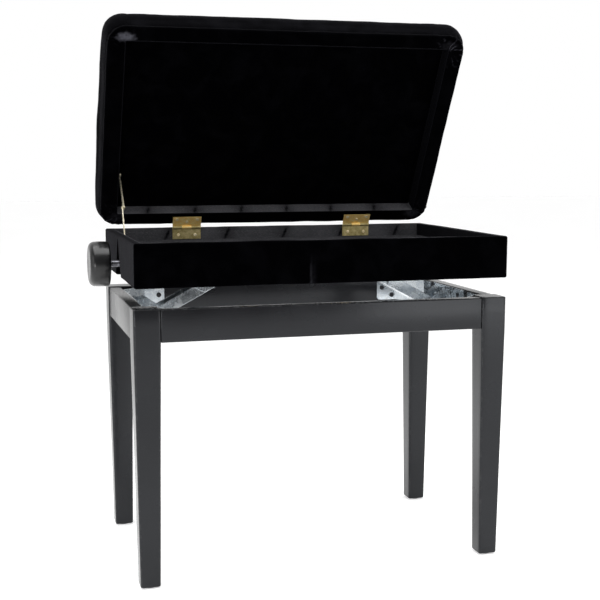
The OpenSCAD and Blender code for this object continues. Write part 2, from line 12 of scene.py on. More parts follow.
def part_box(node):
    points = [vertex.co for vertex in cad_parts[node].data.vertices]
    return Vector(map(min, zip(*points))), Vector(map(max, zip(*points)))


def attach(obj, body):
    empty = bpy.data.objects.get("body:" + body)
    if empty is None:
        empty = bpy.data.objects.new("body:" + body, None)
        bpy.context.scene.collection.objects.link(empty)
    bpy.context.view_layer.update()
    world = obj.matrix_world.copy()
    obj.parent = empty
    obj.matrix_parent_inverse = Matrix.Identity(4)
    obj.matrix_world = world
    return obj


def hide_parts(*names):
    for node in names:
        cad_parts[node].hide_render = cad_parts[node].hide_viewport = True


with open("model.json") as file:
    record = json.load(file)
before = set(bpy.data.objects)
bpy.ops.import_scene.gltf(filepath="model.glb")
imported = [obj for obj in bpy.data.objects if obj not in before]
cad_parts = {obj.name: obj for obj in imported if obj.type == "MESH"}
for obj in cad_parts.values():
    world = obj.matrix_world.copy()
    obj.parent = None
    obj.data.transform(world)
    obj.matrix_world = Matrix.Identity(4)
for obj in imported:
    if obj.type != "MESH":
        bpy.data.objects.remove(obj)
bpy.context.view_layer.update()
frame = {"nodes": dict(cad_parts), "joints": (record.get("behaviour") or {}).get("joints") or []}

MM = 0.001
WELD = 0.01 * MM  # CAD points nearer than this are one point
joints = {j["name"]: j for j in frame["joints"]}


# ---------- Places and sizes, all taken from the frame ----------

def extent(points):
    """Lowest and highest corners of the box round some points."""
    low = Vector(min(p[i] for p in points) for i in range(3))
    high = Vector(max(p[i] for p in points) for i in range(3))
    return low, high


def middle(*nodes):
    """Middle of the box round some CAD nodes."""
    low, high = extent([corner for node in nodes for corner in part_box(node)])
    return (low + high) / 2


def box_in(node, matrix):
    """Corners of a CAD node's box in another frame, given that frame's matrix."""
    back = matrix.inverted()
    return extent([back @ v.co for v in frame["nodes"][node].data.vertices])


BENCH = middle("leg_front_left", "leg_back_right")
BENCH.z = 0
HINGE = Vector(joints["lid_hinge"]["pos_m"])
LID_ANGLE = math.radians(joints["lid_hinge"]["range_deg"][0])
# The closed lid's frame: X from the middle of the bench, Y and Z from the hinge axis.
# BED is the frame of everything that doesn't tilt.
LID = Matrix.Translation((BENCH.x, HINGE.y, HINGE.z)) @ Matrix.Rotation(LID_ANGLE, 4, "X")
BED = Matrix.Translation(BENCH)


# ---------- Mesh helpers ----------

def rounded_outline(low, high, radius, counts):
    """Points anticlockwise round a rounded rectangle. Counts: along X, along Y, round a corner."""
    along_x, along_y, round_corner = counts
    centres = [
        (high[0] - radius, low[1] + radius), (high[0] - radius, high[1] - radius),
        (low[0] + radius, high[1] - radius), (low[0] + radius, low[1] + radius),
    ]
    points = []
    for i, (cx, cy) in enumerate(centres):
        for k in range(round_corner + 1):
            a = (i - 1 + k / round_corner) * math.pi / 2
            points.append((cx + radius * math.cos(a), cy + radius * math.sin(a)))
        a = i * math.pi / 2
        start = Vector(points[-1])
        end = Vector(centres[(i + 1) % 4]) + radius * Vector((math.cos(a), math.sin(a)))
        count = along_x if i % 2 else along_y
        points += [tuple(start.lerp(end, k / count)) for k in range(1, count)]
    return points


def inset_ring(low, high, inset, z, radius, counts):
    """Rounded rectangle at height z, inside the sides of a box by inset."""
    return [Vector((x, y, z)) for x, y in rounded_outline(
        (low[0] + inset, low[1] + inset), (high[0] - inset, high[1] - inset), radius, counts)]


def rounding(radius, steps):
    """Quarter round as pairs: how far in from the side and how far in from the end, from the end on."""
    angles = [math.pi / 2 * k / steps for k in range(steps + 1)]
    return [(radius * (1 - math.sin(a)), radius * (1 - math.cos(a))) for a in angles]


def loft(rings, loop=False):
    """Vertices and faces of a skin over rings with the same number of points. Its two ends are
    closed, or it runs on from the last ring to the first."""
    n = len(rings[0])
    last = len(rings) - 1
    verts = [p for ring in rings for p in ring]
    spans = [(i, i + 1) for i in range(last)]
    if loop:
        spans.append((last, 0))
    faces = [
        (a * n + k, a * n + (k + 1) % n, b * n + (k + 1) % n, b * n + k)
        for a, b in spans for k in range(n)
    ]
    if not loop:
        faces.append(tuple(range(n - 1, -1, -1)))
        faces.append(tuple(range(last * n, len(verts))))
    return verts, faces


def add(name, data):
    """A new object in the scene."""
    obj = bpy.data.objects.new(name, data)
    bpy.context.scene.collection.objects.link(obj)
    return obj


def piece(name, verts, faces, material, matrix=None, smooth_angle=35):
    """A mesh object whose vertices are given in matrix's frame and stored in the row frame."""
    mesh = bpy.data.meshes.new(name)
    mesh.from_pydata([tuple(v) for v in verts], [], faces)
    if matrix is not None:
        mesh.transform(matrix)
    bm = bmesh.new()
    bm.from_mesh(mesh)
    bmesh.ops.recalc_face_normals(bm, faces=bm.faces)
    bm.to_mesh(mesh)
    bm.free()
    mesh.materials.append(material)
    smooth(mesh, smooth_angle)
    return add(name, mesh)


def smooth(mesh, angle):
    """Smooth shading, but sharp where faces meet at more than angle, in degrees."""
    mesh.shade_smooth()
    mesh.set_sharp_from_angle(angle=math.radians(angle))


def freeze(obj):
    """Applies obj's modifiers to its mesh."""
    graph = bpy.context.evaluated_depsgraph_get()
    mesh = bpy.data.meshes.new_from_object(obj.evaluated_get(graph), depsgraph=graph)
    old = obj.data
    obj.modifiers.clear()
    obj.data = mesh
    bpy.data.meshes.remove(old)


def coordinates(mesh):
    """Vertex coordinates, one row each."""
    co = np.empty(len(mesh.vertices) * 3)
    mesh.vertices.foreach_get("co", co)
    return co.reshape(-1, 3)


def set_coordinates(mesh, co):
    mesh.vertices.foreach_set("co", co.ravel())
    mesh.update()


def normals(mesh):
    """Vertex normals, one row each."""
    n = np.empty(len(mesh.vertices) * 3)
    mesh.vertex_normals.foreach_get("vector", n)
    return n.reshape(-1, 3)


def mark(obj, name, values):
    """Keeps a number for each vertex, which a material reads by its name: edge, or the crush mark, which
    carries flattened nap and painted light and shade.
    """
    layer = obj.data.attributes.new(name, "FLOAT", "POINT")
    layer.data.foreach_set("value", np.asarray(values, np.float32))


def place(obj, body, slot, *nodes):
    """obj rides on a body and stands for some CAD nodes, which it hides. Its slot is not used."""
    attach(obj, body)
    if nodes:
        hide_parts(*nodes)
    return obj


def ripple(points, size, depth, seed):
    """Smooth noise for each point, between about -depth and depth."""
    shift = Vector((seed * 7.3, seed * 3.1, seed * 5.7))
    return np.array([depth * noise.noise(Vector(p) / size + shift) for p in points])


# ---------- Materials ----------

class Finish:
    """A Principled material and the few kinds of node that the finishes here share."""

    def __init__(self, name, **constants):
        self.material = bpy.data.materials.new(name)
        self.material.use_nodes = True
        self.tree = self.material.node_tree
        self.shader = self.tree.nodes["Principled BSDF"]
        for socket, value in constants.items():
            self.shader.inputs[socket.replace("_", " ")].default_value = value
        self.place = self.tree.nodes.new("ShaderNodeTexCoord").outputs["Object"]

    def put(self, node, socket, value):
        """Links a socket to another, or sets its constant."""
        if isinstance(value, bpy.types.NodeSocket):
            self.tree.links.new(value, node.inputs[socket])
        elif value is not None:
            node.inputs[socket].default_value = value

    def node(self, kind, **sockets):
        """A new node with its sockets filled."""
        node = self.tree.nodes.new("ShaderNode" + kind)
        for socket, value in sockets.items():
            self.put(node, socket.replace("_", " "), value)
        return node

    def noise(self, size, detail, stretch=(1, 1, 1), warp=0.0):
        """Noise with features of about size metres, longer along an axis with a larger stretch."""
        at = self.node("Mapping", Vector=self.place, Scale=tuple(1 / (size * s) for s in stretch))
        return self.node("TexNoise", Vector=at.outputs[0], Scale=1.0, Detail=detail,
                         Distortion=warp).outputs["Fac"]

    def attribute(self, name):
        """The number that mark kept under this name."""
        node = self.node("Attribute")
        node.attribute_name = name
        return node.outputs["Fac"]

    def math(self, operation, a, b=None, c=None):
        """Arithmetic on numbers or sockets."""
        node = self.node("Math")
        node.operation = operation
        for i, value in enumerate((a, b, c)):
            self.put(node, i, value)
        return node.outputs[0]

    def between(self, factor, low, high, start=0, end=1):
        """Runs from low to high as factor runs from start to end."""
        return self.node("MapRange", Value=factor, From_Min=start, From_Max=end, To_Min=low,
                         To_Max=high).outputs[0]

    def colours(self, factor, *stops):
        """Colour ramp through (position, colour) stops."""
        node = self.node("ValToRGB", Fac=factor)
        ramp = node.color_ramp
        while len(ramp.elements) < len(stops):
            ramp.elements.new(0.5)
        for element, (position, colour) in zip(ramp.elements, stops):
            element.position = position
            element.color = (*colour, 1)
        return node.outputs["Color"]

    def mix(self, factor, a, b):
        """Colour a turning into colour b as factor runs from 0 to 1."""
        node = self.node("Mix")
        node.data_type = "RGBA"
        self.put(node, 0, factor)
        for socket, value in ((6, a), (7, b)):
            if isinstance(value, tuple):
                value = (*value, 1)
            self.put(node, socket, value)
        return node.outputs[2]

    def bump(self, height, distance, under=None):
        """Relief of that depth in metres, laid over the relief under it."""
        return self.node("Bump", Height=height, Distance=distance, Normal=under).outputs[0]

    def set(self, **sockets):
        """Fills the shader's sockets and gives back the finished material."""
        for socket, value in sockets.items():
            self.put(self.shader, socket.replace("_", " "), value)
        return self.material


def black_lacquer(name, grain):
    """Satin black lacquer, rubbed along its edges, with dust and a faint grain that is stretched
    along the board."""
    f = Finish(name, Coat_Weight=0.12, Coat_Roughness=0.16, Specular_IOR_Level=0.25,
               Specular_Tint=(0.90, 0.94, 1.0, 1))
    cloud = f.noise(90 * MM, 3)
    lines = f.noise(1.3 * MM, 3, grain)
    peel = f.noise(2.6 * MM, 2)
    worn = f.math("MULTIPLY", f.attribute("edge"), f.between(f.noise(9 * MM, 4), 0, 1, 0.5, 0.68))
    dust = f.between(f.noise(0.9 * MM, 2), 0, 1, 0.66, 0.74)
    body = f.colours(cloud, (0.3, (0.0045, 0.0045, 0.0052)), (0.7, (0.008, 0.008, 0.0092)))
    body = f.mix(f.math("MULTIPLY", dust, 0.25), body, (0.05, 0.05, 0.052))
    skin = f.bump(lines, 0.05 * MM, f.bump(peel, 0.045 * MM))
    rough = f.math("ADD", f.between(cloud, 0.22, 0.3, 0.3, 0.7), f.math("MULTIPLY", worn, 0.2))
    return f.set(Base_Color=f.mix(worn, body, (0.02, 0.02, 0.0205)), Roughness=rough, Normal=skin)


def velour(name, dark, light, sheen):
    """Short-pile velour. The pile leans in patches, and the cloth is painted lighter where the crush mark is
    set: flattened nap at the box's front seam, and painted sheen on the lid's corner folds.
    """
    f = Finish(name, Sheen_Weight=sheen, Sheen_Roughness=0.36, Sheen_Tint=(0.62, 0.62, 0.68, 1),
               Specular_IOR_Level=0.0)
    lean = f.noise(34 * MM, 3, warp=0.6)
    pile = f.noise(0.45 * MM, 2)
    brushed = f.noise(2.2 * MM, 3, (1, 1, 3))
    painted_light_and_crush = f.math("MULTIPLY", f.attribute("painted_light_and_crush"), f.between(f.noise(5 * MM, 3), 0.35, 1, 0.3, 0.6))
    body = f.colours(lean, (0.45, dark), (0.7, light))
    body = f.mix(f.between(pile, 0, 0.6, 0.45, 0.75), body, tuple(1.7 * c for c in light))
    # Painted sheen and flattened nap: lighter where the crush mark is set
    body = f.mix(painted_light_and_crush, body, (0.05, 0.05, 0.06))
    skin = f.bump(pile, 0.22 * MM, f.bump(brushed, 0.2 * MM))
    return f.set(Base_Color=body, Roughness=f.between(lean, 0.82, 0.97, 0.3, 0.7), Normal=skin)


def felt_lining():
    """Thin felt-backed lining, greyer than the velour. It is painted darker where the crush mark is set, as
    painted shade in its creases and over the walls of the recesses.
    """
    f = Finish("felt_lining", Specular_IOR_Level=0.0)
    cloud = f.noise(40 * MM, 4)
    fibres = f.noise(0.7 * MM, 4, (4, 4, 1), warp=1.2)
    body = f.colours(cloud, (0.3, (0.054, 0.054, 0.059)), (0.75, (0.082, 0.082, 0.089)))
    body = f.mix(f.between(fibres, 0, 0.7, 0.5, 0.7), body, (0.15, 0.15, 0.16))
    # Painted shade: nearly black where the mark is set
    body = f.mix(f.attribute("painted_light_and_crush"), body, (0.004, 0.004, 0.005))
    skin = f.bump(fibres, 0.25 * MM, f.bump(f.noise(6 * MM, 3), 0.5 * MM))
    return f.set(Base_Color=body, Roughness=f.between(cloud, 0.8, 0.95), Normal=skin)


def zinc_plate():
    """Bright zinc-plated sheet steel: bluish clouds, fine rolling marks and scratches."""
    f = Finish("zinc_plate", Metallic=1.0)
    cloud = f.noise(14 * MM, 4, warp=0.8)
    marks = f.noise(0.25 * MM, 2, (60, 3, 3))
    scratch = f.between(f.noise(0.5 * MM, 2, (3, 40, 24), warp=0.3), 0, 1, 0.66, 0.72)
    body = f.colours(cloud, (0.25, (0.38, 0.42, 0.46)), (0.5, (0.50, 0.54, 0.57)), (0.8, (0.66, 0.69, 0.71)))
    body = f.mix(f.between(f.noise(3 * MM, 3), 0, 0.22, 0.55, 0.8), body, (0.24, 0.27, 0.32))
    rough = f.math("ADD", f.between(cloud, 0.20, 0.30, 0.25, 0.75), f.math("MULTIPLY", scratch, 0.12))
    skin = f.bump(marks, 0.012 * MM, f.bump(scratch, -0.02 * MM))
    return f.set(Base_Color=body, Roughness=rough, Normal=skin)


def plated(name, dark, mid, bright, low, high, metal=1.0):
    """Soft polished plating with tarnish in patches and rubbed high spots."""
    f = Finish(name, Metallic=metal)
    cloud = f.noise(5 * MM, 4, warp=0.5)
    fine = f.noise(0.35 * MM, 2, (18, 1, 1))
    body = f.colours(cloud, (0.3, dark), (0.5, mid), (0.72, bright))
    body = f.mix(f.between(f.noise(1.6 * MM, 3), 0, 0.5, 0.6, 0.75), body, tuple(0.4 * c for c in dark))
    skin = f.bump(fine, 0.012 * MM, f.bump(f.noise(2.5 * MM, 2), 0.03 * MM))
    return f.set(Base_Color=body, Roughness=f.between(cloud, low, high, 0.3, 0.7), Normal=skin)


def moulded_plastic(name, shade, rough):
    """Hard plastic with a fine moulded grain under a thin gloss."""
    f = Finish(name, Specular_IOR_Level=0.25, Coat_Weight=0.35, Coat_Roughness=0.14)
    grain = f.noise(0.5 * MM, 2)
    cloud = f.noise(20 * MM, 3)
    body = f.colours(cloud, (0.3, tuple(0.8 * c for c in shade)), (0.7, shade))
    return f.set(Base_Color=body, Roughness=f.between(cloud, rough - 0.04, rough + 0.05, 0.3, 0.7),
                 Normal=f.bump(grain, 0.04 * MM))


def dark_steel():
    """Black oxide on steel, rubbed lighter in places."""
    f = Finish("black_oxide_steel", Metallic=0.85)
    rub = f.noise(1.6 * MM, 4)
    body = f.colours(rub, (0.35, (0.018, 0.018, 0.02)), (0.62, (0.045, 0.045, 0.05)), (0.8, (0.2, 0.2, 0.21)))
    return f.set(Base_Color=body, Roughness=f.between(rub, 0.5, 0.3), Normal=f.bump(rub, 0.03 * MM))


def bare_wood():
    """Sanded birch plywood with long grain, flecks and a few darker streaks."""
    f = Finish("bare_wood", Specular_IOR_Level=0.35)
    rings = f.noise(7 * MM, 4, (14, 1.2, 0.5), warp=0.7)
    fibre = f.noise(0.6 * MM, 3, (26, 1, 1))
    body = f.colours(rings, (0.3, (0.33, 0.21, 0.11)), (0.5, (0.50, 0.35, 0.20)), (0.75, (0.60, 0.45, 0.28)))
    body = f.mix(f.between(fibre, 0, 0.45, 0.5, 0.72), body, (0.28, 0.17, 0.085))
    return f.set(Base_Color=body, Roughness=f.between(rings, 0.55, 0.72), Normal=f.bump(fibre, 0.09 * MM))


LACQUER_X = black_lacquer("black_lacquer_along_x", (40, 1, 1))
LACQUER_Y = black_lacquer("black_lacquer_along_y", (1, 40, 1))
LACQUER_Z = black_lacquer("black_lacquer_along_z", (1, 1, 40))
VELOUR = velour("black_velour", (0.0001, 0.0001, 0.0002), (0.0008, 0.0008, 0.0011), 0.08)
# Lit copy of the black velour: the same cloth painted lighter on the lid's cushion than on its hem and the
# box
LIT_LID_VELOUR = velour("lid_velour_painted_lighter", (0.0009, 0.0009, 0.0011), (0.0030, 0.0030, 0.0037), 0.08)
LINING = felt_lining()
ZINC = zinc_plate()
BRASS = plated("polished_brass", (0.95, 0.62, 0.18), (1.0, 0.72, 0.26), (1.0, 0.84, 0.42), 0.42, 0.28, 0.5)
# Shaded copy of the brass for the box's hinge leaves: the same brass painted darker, as painted shade
SHADED_BRASS = plated("shaded_brass_copy", (0.34, 0.27, 0.10), (0.48, 0.40, 0.18), (0.62, 0.52, 0.27), 0.55, 0.40, 0.8)
SCREW_BRASS = plated("rubbed_brass", (0.85, 0.70, 0.36), (1.0, 0.86, 0.55), (1.0, 0.93, 0.72), 0.4, 0.25, 0.6)
STAY = plated("tinted_nickel", (0.40, 0.35, 0.24), (0.64, 0.58, 0.44), (0.82, 0.77, 0.62), 0.38, 0.24)
PLASTIC = moulded_plastic("black_plastic", (0.0045, 0.0045, 0.005), 0.34)
STEEL = dark_steel()
SCREW = plated("drawn_steel", (0.05, 0.05, 0.055), (0.09, 0.09, 0.10), (0.17, 0.17, 0.19), 0.34, 0.22)
WOOD = bare_wood()


# ---------- CAD nodes that keep their shape ----------

def dress(nodes, material, edge):
    """CAD nodes get a material, and their sharp edges a small round of edge metres."""
    for name in nodes:
        o = frame["nodes"][name]
        o.data.materials.clear()
        o.data.materials.append(material)
        weld = o.modifiers.new("weld", "WELD")
        weld.merge_threshold = WELD
        bevel = o.modifiers.new("edge", "BEVEL")
        bevel.width = edge
        bevel.segments = 2
        bevel.limit_method = "ANGLE"
        bevel.angle_limit = math.radians(40)
        o.modifiers.new("shade", "WEIGHTED_NORMAL").keep_sharp = True


corners = [f"{y}_{x}" for y in ("front", "back") for x in ("left", "right")]
sides = ("left", "right")
dress([f"corner_brace_{c}" for c in corners], ZINC, 0.35 * MM)
for sheet_part in ("base_bracket", "arm", "link", "seat_bracket", "mid_pin"):
    dress([f"{sheet_part}_{s}" for s in sides], ZINC, 0.35 * MM)
dress(["leg_bolts", "pivot_rods", "seat_bracket_bolts", "link_pins", "thrust_collars"], ZINC, 0.3 * MM)
dress(["nut_left", "nut_right"], BRASS, 0.5 * MM)
dress(["hinge_lid_leaves", "hinge_pins"], BRASS, 0.2 * MM)
# The box's leaves take the darker, shaded copy of the brass
dress(["hinge_box_leaves"], SHADED_BRASS, 0.2 * MM)
dress(["stay_lower_arm", "stay_upper_arm", "stay_lower_rivet", "stay_upper_rivet",
       "stay_box_screw", "stay_lid_screw"], STAY, 0.25 * MM)
dress(["foot_glides", "screw_bushes"], PLASTIC, 0.3 * MM)
dress(["knob_set_screw"], STEEL, 0.3 * MM)
dress(["wall_front", "wall_back", "tray_floor"], LACQUER_X, 0.5 * MM)
dress(["wall_left", "wall_right"], LACQUER_Y, 0.5 * MM)
dress(["apron_dowels", "lid_board", "lid_rails_long", "lid_rails_short"], WOOD, 0.5 * MM)


# ---------- Base ----------

LEG_EDGE = 3.0 * MM
FOOT_EDGE = 2.6 * MM
TOP_EDGE = 1.6 * MM
# Points along X, along Y and round a corner of the leg's section
LEG_COUNTS = 4, 4, 5


def leg(node):
    """Square leg that tapers below the aprons, with softened edges and a rounded foot."""
    low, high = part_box(node)
    centre = (low + high) / 2
    top_half = (high.x - low.x) / 2
    foot_half = max(abs(v.co.x - centre.x) for v in frame["nodes"][node].data.vertices
                    if v.co.z < low.z + MM)
    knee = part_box("apron_front")[0].z
    levels = [(low.z + end, foot_half - side) for side, end in rounding(FOOT_EDGE, 4)]
    taper = 12
    start = low.z + FOOT_EDGE
    levels += [(start + (knee - start) * k / taper, foot_half + (top_half - foot_half) * k / taper)
               for k in range(1, taper + 1)]
    levels.append(((knee + high.z) / 2, top_half))
    levels += [(high.z - side, top_half - end) for side, end in rounding(TOP_EDGE, 3)]
    rings = [
        [(centre.x + x, centre.y + y, z)
         for x, y in rounded_outline((-half, -half), (half, half), LEG_EDGE, LEG_COUNTS)]
        for z, half in levels
    ]
    obj = piece(node + "_visual", *loft(rings), LACQUER_Z)
    quarter, on_corner = len(rings[0]) // 4, LEG_COUNTS[2]
    edge = [1.0 if 0 < k % quarter < on_corner else 0.0 for k in range(len(rings[0]))]
    mark(obj, "edge", edge * len(rings))
    return place(obj, "base", "black_lacquer", node)


def board(name, low, high, edge, material):
    """Board with all its edges rounded. The edge attribute is 1 on the rounds."""
    bm = bmesh.new()
    bmesh.ops.create_cube(bm, size=1, matrix=Matrix.Translation((low + high) / 2)
                          @ Matrix.Diagonal((*(high - low), 1)))
    bmesh.ops.bevel(bm, geom=bm.edges[:], offset=edge, segments=4, profile=0.5, affect="EDGES",
                    clamp_overlap=True)
    verts = [v.co.copy() for v in bm.verts]
    faces = [[v.index for v in f.verts] for f in bm.faces]
    bm.free()
    obj = piece(name, verts, faces, material)
    near = 0.05 * MM
    mark(obj, "edge", [
        0.0 if any(abs(v.co[i] - end[i]) < near for i in range(3) for end in (low, high)) else 1.0
        for v in obj.data.vertices
    ])
    return obj


def aprons():
    """The four boards between the legs, with the grain along each."""
    for name, material in (("front", LACQUER_X), ("back", LACQUER_X),
                           ("left", LACQUER_Y), ("right", LACQUER_Y)):
        node = "apron_" + name
        obj = board(node + "_visual", *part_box(node), TOP_EDGE, material)
        place(obj, "base", "black_lacquer", node)


for corner in corners:
    leg("leg_" + corner)
aprons()


# ---------- Screws ----------

def solids(node, matrix):
    """Points of each separate solid in a CAD node, in matrix's frame."""
    bm = bmesh.new()
    bm.from_mesh(frame["nodes"][node].data)
    bmesh.ops.remove_doubles(bm, verts=bm.verts, dist=WELD)
    back = matrix.inverted()
    left, found = set(bm.verts), []
    for seed in bm.verts:
        if seed not in left:
            continue
        left.remove(seed)
        queue, group = [seed], []
        while queue:
            v = queue.pop()
            group.append(back @ v.co)
            for e in v.link_edges:
                other = e.other_vert(v)
                if other in left:
                    left.remove(other)
                    queue.append(other)
        found.append(group)
    bm.free()
    return found


SPOKES, ROUNDS = 40, 9
# The cross recess: half its width and its length from the middle, as shares of the head's radius,
# and its depth as a share of the head's height
CROSS_HALF, CROSS_LENGTH, CROSS_DEPTH = 0.16, 0.6, 0.7
# Share of the head's height that its rim has, before the dome
HEAD_RIM = 0.3


def head_point(share, k):
    """Point of a head of radius 1 and height 1, share of the way out, on spoke k."""
    a = 2 * math.pi * k / SPOKES
    x, y = share * math.cos(a), share * math.sin(a)
    z = HEAD_RIM + (1 - HEAD_RIM) * math.sqrt(1 - share ** 2)
    if min(abs(x), abs(y)) < CROSS_HALF and max(abs(x), abs(y)) < CROSS_LENGTH:
        z -= CROSS_DEPTH * (1 - share / CROSS_LENGTH)
    return x, y, z


def screws(node, matrix, height, body, slot, material, out=None):
    """Domed heads with a cross recess, in place of a node's plain screws. Out is the way that the
    heads point in matrix's frame; without it they point along the screw, towards the middle."""
    verts, faces = [], []
    for points in solids(node, matrix):
        low, high = extent(points)
        centre, size = (low + high) / 2, high - low
        along = max(range(3), key=lambda i: size[i])
        facing = out or Vector(-math.copysign(1, centre[i]) if i == along else 0 for i in range(3))
        radius = max(size[i] for i in range(3) if i != along) / 2
        base = centre + facing * (size[along] / 2 - height)
        turn = facing.to_track_quat("Z", "Y").to_matrix().to_4x4()
        # Each recess is turned its own way, by an angle that its place decides
        spin = Matrix.Rotation(7.0 * centre.length / radius, 4, "Z")
        at = matrix @ Matrix.Translation(base) @ turn @ spin
        head = [head_point(r / ROUNDS, k) for r in range(ROUNDS, 0, -1) for k in range(SPOKES)]
        head.append((0, 0, 1 - CROSS_DEPTH))
        head += [(*head_point(1, k)[:2], -0.1) for k in range(SPOKES)]
        first = len(verts)
        verts += [at @ Vector((radius * x, radius * y, height * z)) for x, y, z in head]
        top, under = first + ROUNDS * SPOKES, first + ROUNDS * SPOKES + 1
        spans = [(first + r * SPOKES, first + (r + 1) * SPOKES) for r in range(ROUNDS - 1)]
        for a, b in spans + [(under, first)]:
            faces += [(a + k, a + (k + 1) % SPOKES, b + (k + 1) % SPOKES, b + k) for k in range(SPOKES)]
        inner = top - SPOKES
        faces += [(inner + k, inner + (k + 1) % SPOKES, top) for k in range(SPOKES)]
        faces.append(tuple(range(under + SPOKES - 1, under - 1, -1)))
    return place(piece(node + "_visual", verts, faces, material, None, 50), body, slot, node)


screws("frame_screws", BED, 2.0 * MM, "base", "dark_steel", STEEL)
screws("hinge_box_screws", BED, 0.9 * MM, "seat_box", "brass", SCREW_BRASS, Vector((0, -1, 0)))
screws("hinge_lid_screws", LID, 0.9 * MM, "lid", "brass", SCREW_BRASS, Vector((0, 0, -1)))


# ---------- Knob and lead screw ----------

def lathe(profile, spokes, matrix):
    """Turned shape: profile is (radius, height) points from one end of the axis to the other."""
    rings = [
        [matrix @ Vector((r * math.cos(a), r * math.sin(a), z))
         for a in (2 * math.pi * k / spokes for k in range(spokes))]
        for r, z in profile
    ]
    return loft(rings)


KNOB_INNER_EDGE, KNOB_OUTER_EDGE = 3.2 * MM, 8.5 * MM
KNOB_CROWN = 0.4 * MM
KNOB_DISH = 0.7 * MM
PARTING_LINE = 0.12 * MM


def knob():
    """Moulded knob: hub on the inner face, a faint parting line, a barrelled rim and a dished face."""
    low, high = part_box("knob")
    centre = (low + high) / 2
    radius, length = (high.z - low.z) / 2, high.x - low.x
    rim, hub, tiny = radius - KNOB_CROWN, 9 * MM, 0.2 * MM
    profile = [(tiny, 0.0), (hub, 0.0), (hub + 0.6 * MM, 0.6 * MM), (radius - 7 * MM, 0.8 * MM),
               (radius - KNOB_INNER_EDGE - 1 * MM, 0.1 * MM)]
    profile += [(rim - side, end) for side, end in rounding(KNOB_INNER_EDGE, 5)]
    barrel, steps = length - KNOB_OUTER_EDGE - KNOB_INNER_EDGE, 8
    for k in range(1, steps):
        share = k / steps
        crown = KNOB_CROWN * (1 - (2 * share - 1) ** 2)
        line = PARTING_LINE if k == steps // 2 else 0.0
        profile.append((rim + crown - line, KNOB_INNER_EDGE + barrel * share))
    profile += [(rim - end, length - side) for side, end in rounding(KNOB_OUTER_EDGE, 9)]
    face = 0.72
    profile += [(radius * share, length - KNOB_DISH * (1 - share / face)) for share in (0.6, 0.4, 0.2)]
    profile.append((tiny, length - KNOB_DISH))
    at = Matrix.Translation((high.x, centre.y, centre.z)) @ Matrix.Rotation(-math.pi / 2, 4, "Y")
    verts, faces = lathe(profile, 120, at)
    place(piece("knob_visual", verts, faces, PLASTIC), "screw", "black_plastic", "knob")


THREAD_LEAD, THREAD_DEPTH = 3.0 * MM, 0.9 * MM
# Where each half's thread starts and ends, from the middle of the bench
THREAD_ENDS = 8 * MM, 214 * MM


def lead_screw():
    """Rod with a trapezoidal thread, left-handed on one half and right-handed on the other."""
    low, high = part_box("lead_screw")
    centre = (low + high) / 2
    radius, spokes, step = (high.z - low.z) / 2, 24, 0.5 * MM
    chamfer = 1 * MM
    near, far = THREAD_ENDS
    stations = [low.x, low.x + chamfer]
    for start in (BENCH.x - far, BENCH.x + near):
        stations += [start + step * k for k in range(round((far - near) / step) + 1)]
    stations += [high.x - chamfer, high.x]
    rings = []
    for x in stations:
        along = x - BENCH.x
        out, hand = abs(along), 1 if along > 0 else -1
        fade = max(0.0, min(1.0, (out - near) / THREAD_LEAD, (far - out) / THREAD_LEAD))
        end = chamfer * 0.6 if x in (low.x, high.x) else 0.0
        ring = []
        for k in range(spokes):
            wave = (hand * along / THREAD_LEAD - hand * k / spokes) % 1.0
            # Flat root, slanting flanks and flat crest
            groove = max(0.0, min(1.0, 2.5 - 7 * abs(wave - 0.5)))
            r = radius - THREAD_DEPTH * groove * fade - end
            a = 2 * math.pi * k / spokes
            ring.append((x, centre.y + r * math.cos(a), centre.z + r * math.sin(a)))
        rings.append(ring)
    verts, faces = loft(rings)
    place(piece("lead_screw_visual", verts, faces, SCREW), "screw", "zinc", "lead_screw")


knob()
lead_screw()


# ---------- Storage box ----------

BOX_CORNER, BOX_EDGE = 3.5 * MM, 3.0 * MM
COVER_T = 1.5 * MM
# The cover's seam in front, from the middle of the bench
SEAM_X = -27 * MM
# Points along X, along Y and round a corner
COVER_COUNTS = 220, 138, 8
# From one staple to the next in the linings
STAPLES_BOX, STAPLES_LID = 100 * MM, 78 * MM


def bell(x, width):
    """1 where x is 0, fading out over about width to each side."""
    return np.exp(-(x / width) ** 2)


